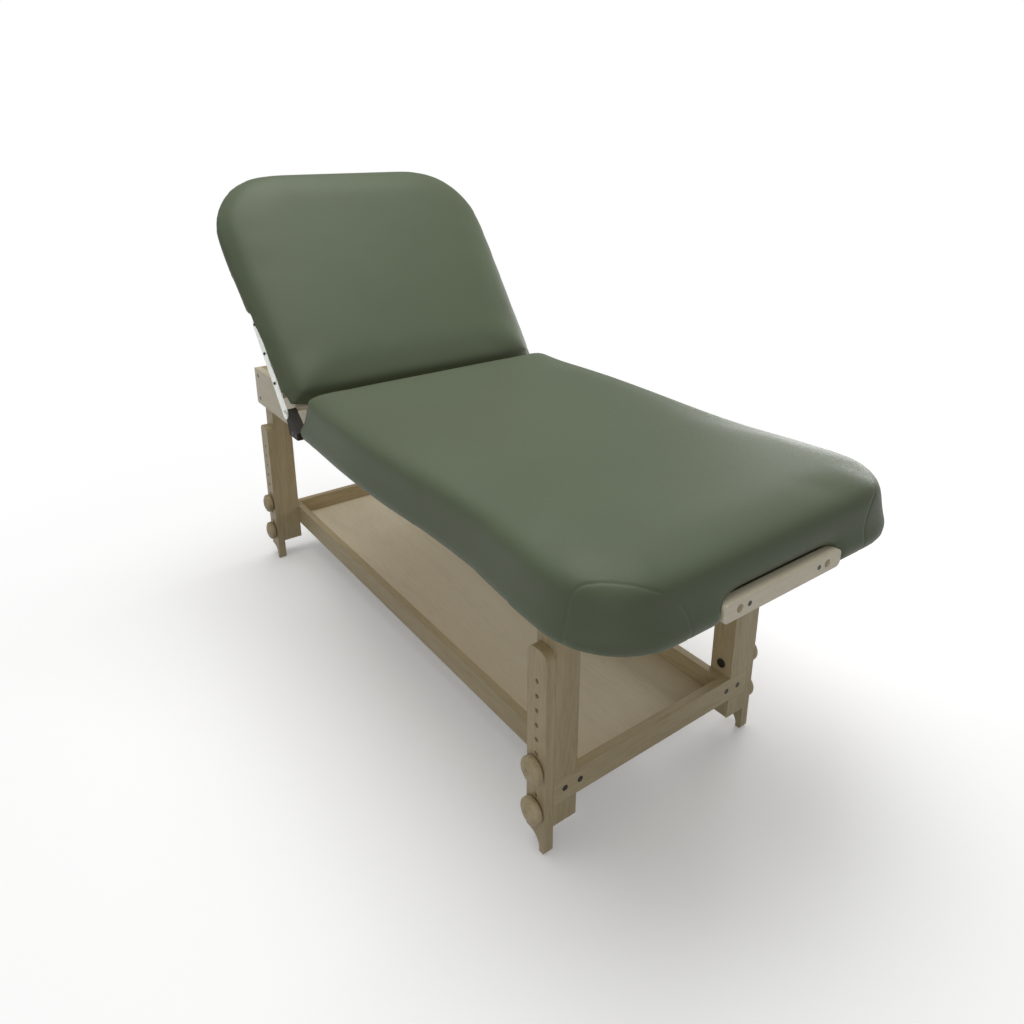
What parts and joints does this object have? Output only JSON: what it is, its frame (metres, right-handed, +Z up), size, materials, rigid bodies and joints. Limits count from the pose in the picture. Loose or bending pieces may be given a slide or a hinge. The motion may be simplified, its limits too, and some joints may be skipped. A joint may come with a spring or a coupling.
{
  "type": "massage table",
  "caption": "Stationary wooden treatment table with a padded top, a lifting back held by a notched prop, bolt-on leg extensions and a shelf tray below.",
  "frame": {"origin": "on the floor, below the middle of the table's length and width as it stands, with the back raised to 50 degrees", "axes": "+X along the table towards the foot end, +Y to the left of a person lying face up with the head on the back, +Z up"},
  "size_m": [1.577, 0.766, 1.1321],
  "materials": {
    "vinyl": "satin upholstery vinyl",
    "plywood": "clear matt",
    "pale_wood": "clear satin",
    "wood": "clear satin",
    "knob_wood": "clear satin",
    "steel": "zinc plated",
    "dark_steel": "dark oxide"
  },
  "bodies": {
    "frame": {"seat_cushion": "vinyl", "seat_board": "plywood", "shelf_panel": "plywood", "left_hinge_lug": "pale_wood", "right_hinge_lug": "pale_wood", "face_rest_bar": "pale_wood", "face_rest_block": "pale_wood", "left_apron": "pale_wood", "right_apron": "pale_wood", "left_rack": "pale_wood", "right_rack": "pale_wood", "head_rail": "wood", "hinge_rail": "wood", "middle_rail": "wood", "foot_rail": "wood", "left_tray_rail": "wood", "right_tray_rail": "wood", "head_tray_bar": "wood", "foot_tray_bar": "wood", "head_left_post": "wood", "head_right_post": "wood", "foot_left_post": "wood", "foot_right_post": "wood", "frame_bolts": "dark_steel", "lug_screws": "dark_steel", "leg_bolts": "dark_steel", "tray_bolts": "dark_steel", "face_rest_screws": "steel", "hinge_bolts": "steel"},
    "back": {"back_cushion": "vinyl", "back_board": "plywood", "left_hinge_strap": "steel", "right_hinge_strap": "steel", "strap_screws": "dark_steel", "prop_brackets": "steel", "prop_pins": "dark_steel"},
    "prop": {"left_prop_arm": "steel", "right_prop_arm": "steel", "prop_rod": "steel"},
    "head_left_extension": {"head_left_extension": "wood"},
    "head_left_upper_knob": {"head_left_upper_knob": "knob_wood"},
    "head_left_lower_knob": {"head_left_lower_knob": "knob_wood"},
    "head_right_extension": {"head_right_extension": "wood"},
    "head_right_upper_knob": {"head_right_upper_knob": "knob_wood"},
    "head_right_lower_knob": {"head_right_lower_knob": "knob_wood"},
    "foot_left_extension": {"foot_left_extension": "wood"},
    "foot_left_upper_knob": {"foot_left_upper_knob": "knob_wood"},
    "foot_left_lower_knob": {"foot_left_lower_knob": "knob_wood"},
    "foot_right_extension": {"foot_right_extension": "wood"},
    "foot_right_upper_knob": {"foot_right_upper_knob": "knob_wood"},
    "foot_right_lower_knob": {"foot_right_lower_knob": "knob_wood"}
  },
  "joints": [
    {"name": "back_tilt", "type": "hinge", "parent": "frame", "child": "back", "pos_m": [-0.3335, 0, 0.5991], "axis": [0, 1, 0], "range_deg": [-50, 15]},
    {"name": "prop_fold", "type": "hinge", "parent": "back", "child": "prop", "pos_m": [-0.45367, 0, 0.69408], "axis": [0, 1, 0], "range_deg": [-26.44, 87.9]},
    {"name": "head_left_extension_slide", "type": "slide", "parent": "frame", "child": "head_left_extension", "axis": [0, 1, 0], "range_m": [0, 0.04]},
    {"name": "head_left_upper_knob_turn", "type": "hinge", "parent": "head_left_extension", "child": "head_left_upper_knob", "pos_m": [-0.7625, 0.28, 0.177], "axis": [0, 1, 0], "continuous": true},
    {"name": "head_left_lower_knob_turn", "type": "hinge", "parent": "head_left_extension", "child": "head_left_lower_knob", "pos_m": [-0.7625, 0.28, 0.087], "axis": [0, 1, 0], "continuous": true},
    {"name": "head_right_extension_slide", "type": "slide", "parent": "frame", "child": "head_right_extension", "axis": [0, -1, 0], "range_m": [0, 0.04]},
    {"name": "head_right_upper_knob_turn", "type": "hinge", "parent": "head_right_extension", "child": "head_right_upper_knob", "pos_m": [-0.7625, -0.28, 0.177], "axis": [0, -1, 0], "continuous": true},
    {"name": "head_right_lower_knob_turn", "type": "hinge", "parent": "head_right_extension", "child": "head_right_lower_knob", "pos_m": [-0.7625, -0.28, 0.087], "axis": [0, -1, 0], "continuous": true},
    {"name": "foot_left_extension_slide", "type": "slide", "parent": "frame", "child": "foot_left_extension", "axis": [0, 1, 0], "range_m": [0, 0.04]},
    {"name": "foot_left_upper_knob_turn", "type": "hinge", "parent": "foot_left_extension", "child": "foot_left_upper_knob", "pos_m": [0.5275, 0.28, 0.177], "axis": [0, 1, 0], "continuous": true},
    {"name": "foot_left_lower_knob_turn", "type": "hinge", "parent": "foot_left_extension", "child": "foot_left_lower_knob", "pos_m": [0.5275, 0.28, 0.087], "axis": [0, 1, 0], "continuous": true},
    {"name": "foot_right_extension_slide", "type": "slide", "parent": "frame", "child": "foot_right_extension", "axis": [0, -1, 0], "range_m": [0, 0.04]},
    {"name": "foot_right_upper_knob_turn", "type": "hinge", "parent": "foot_right_extension", "child": "foot_right_upper_knob", "pos_m": [0.5275, -0.28, 0.177], "axis": [0, -1, 0], "continuous": true},
    {"name": "foot_right_lower_knob_turn", "type": "hinge", "parent": "foot_right_extension", "child": "foot_right_lower_knob", "pos_m": [0.5275, -0.28, 0.087], "axis": [0, -1, 0], "continuous": true}
  ],
  "couplings": [
    {"joint": "prop_fold", "follows": "back_tilt", "ratio": -1.756}
  ]
}
